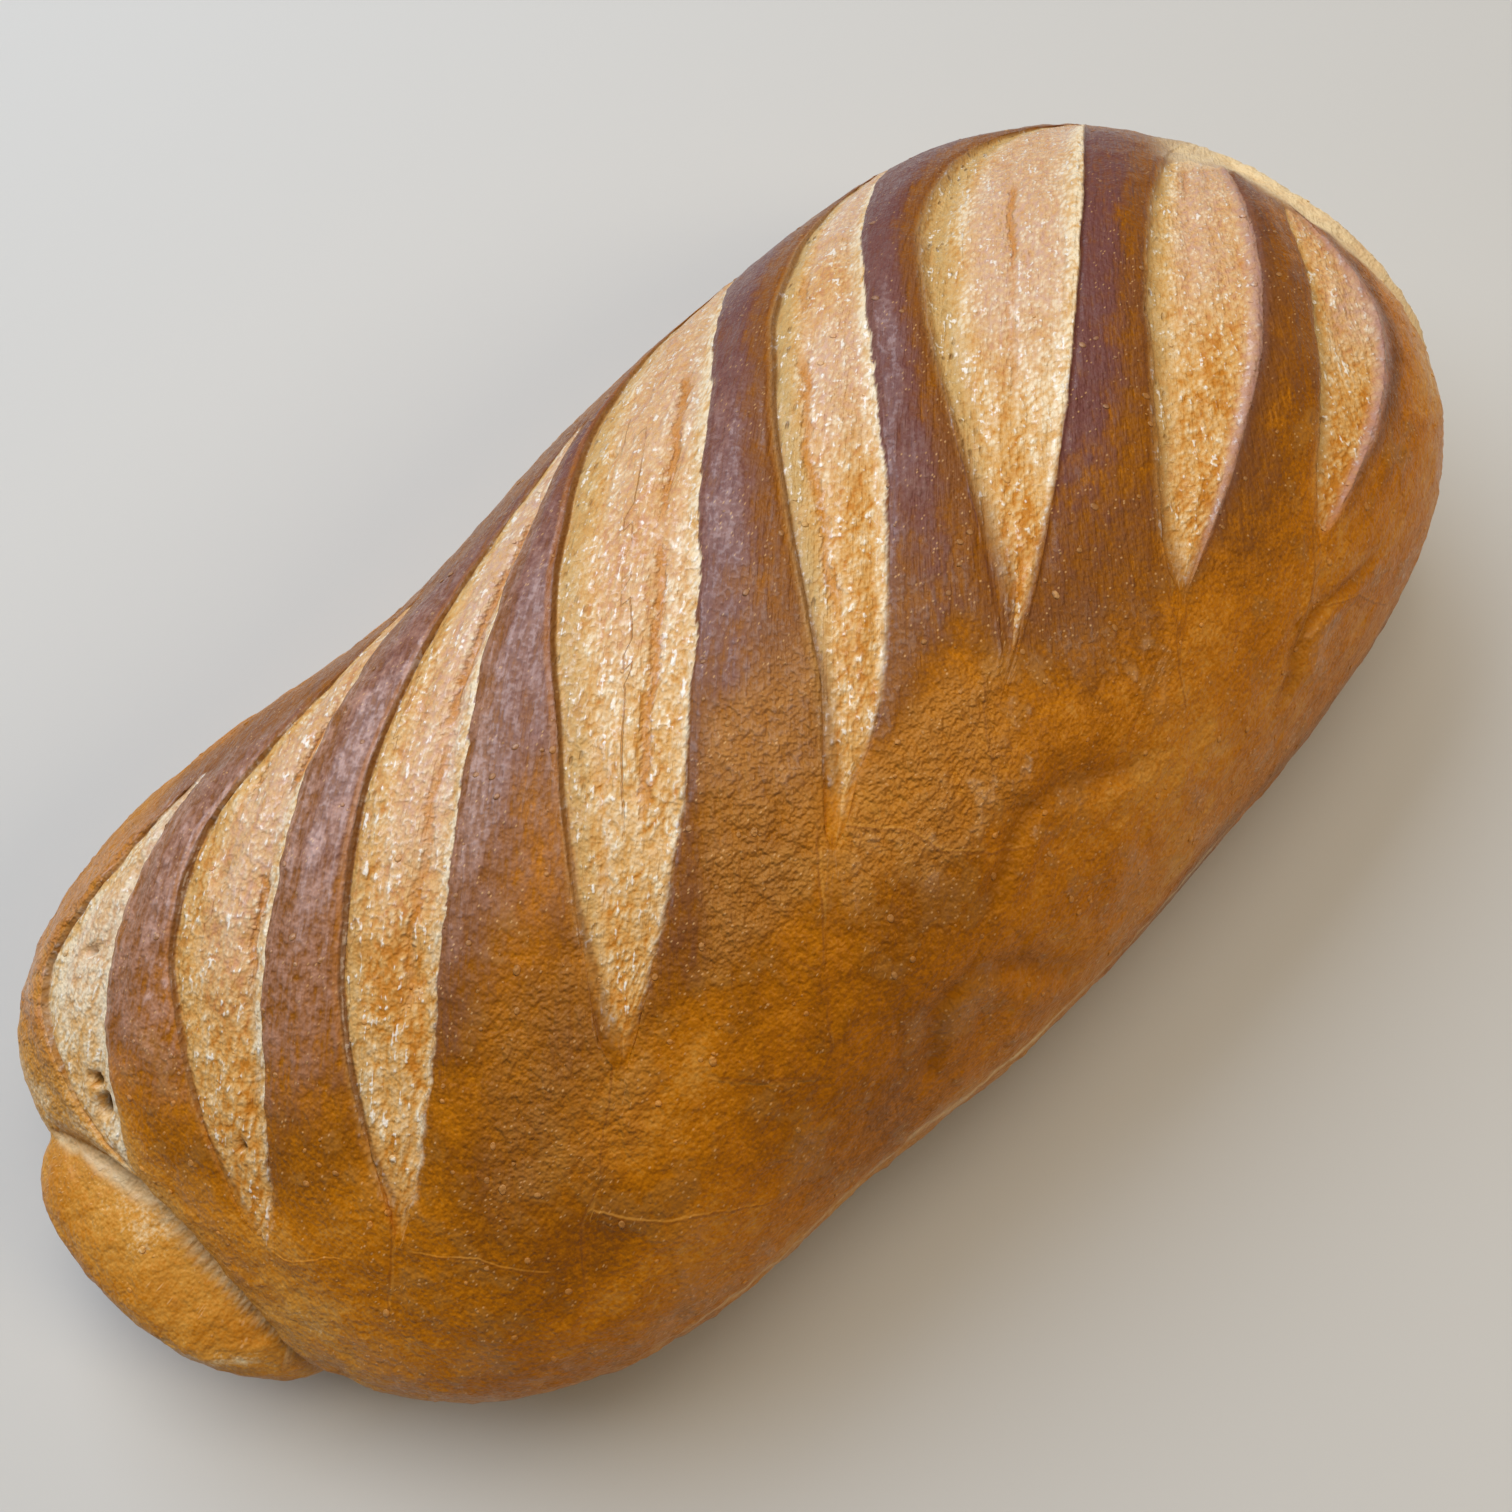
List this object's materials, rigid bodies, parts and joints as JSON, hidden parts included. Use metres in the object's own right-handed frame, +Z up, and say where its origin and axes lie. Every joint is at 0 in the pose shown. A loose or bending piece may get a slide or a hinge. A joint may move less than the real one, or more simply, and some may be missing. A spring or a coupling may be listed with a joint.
{
  "type": "bloomer loaf",
  "caption": "Whole uncut bloomer loaf: a long rounded white loaf with diagonal slashes that opened in the oven and a folded, tucked end; rests on its flat underside.",
  "frame": {"origin": "centre of the bounding box in plan, on the flat underside that rests on the table", "axes": "+X along the loaf from the tapering end with the tucked fold to the blunt end; +Y to the back, where most slashes run over the side; +Z up"},
  "size_m": [0.3366, 0.1586, 0.0949],
  "materials": {
    "baked_crust": "baked bread crust with a slight egg-wash gloss: dark chestnut on the strips between the slashes, amber on the sides, golden cream in the open slashes and along the base"
  },
  "bodies": {
    "root": {"loaf": "baked_crust"}
  },
  "joints": []
}
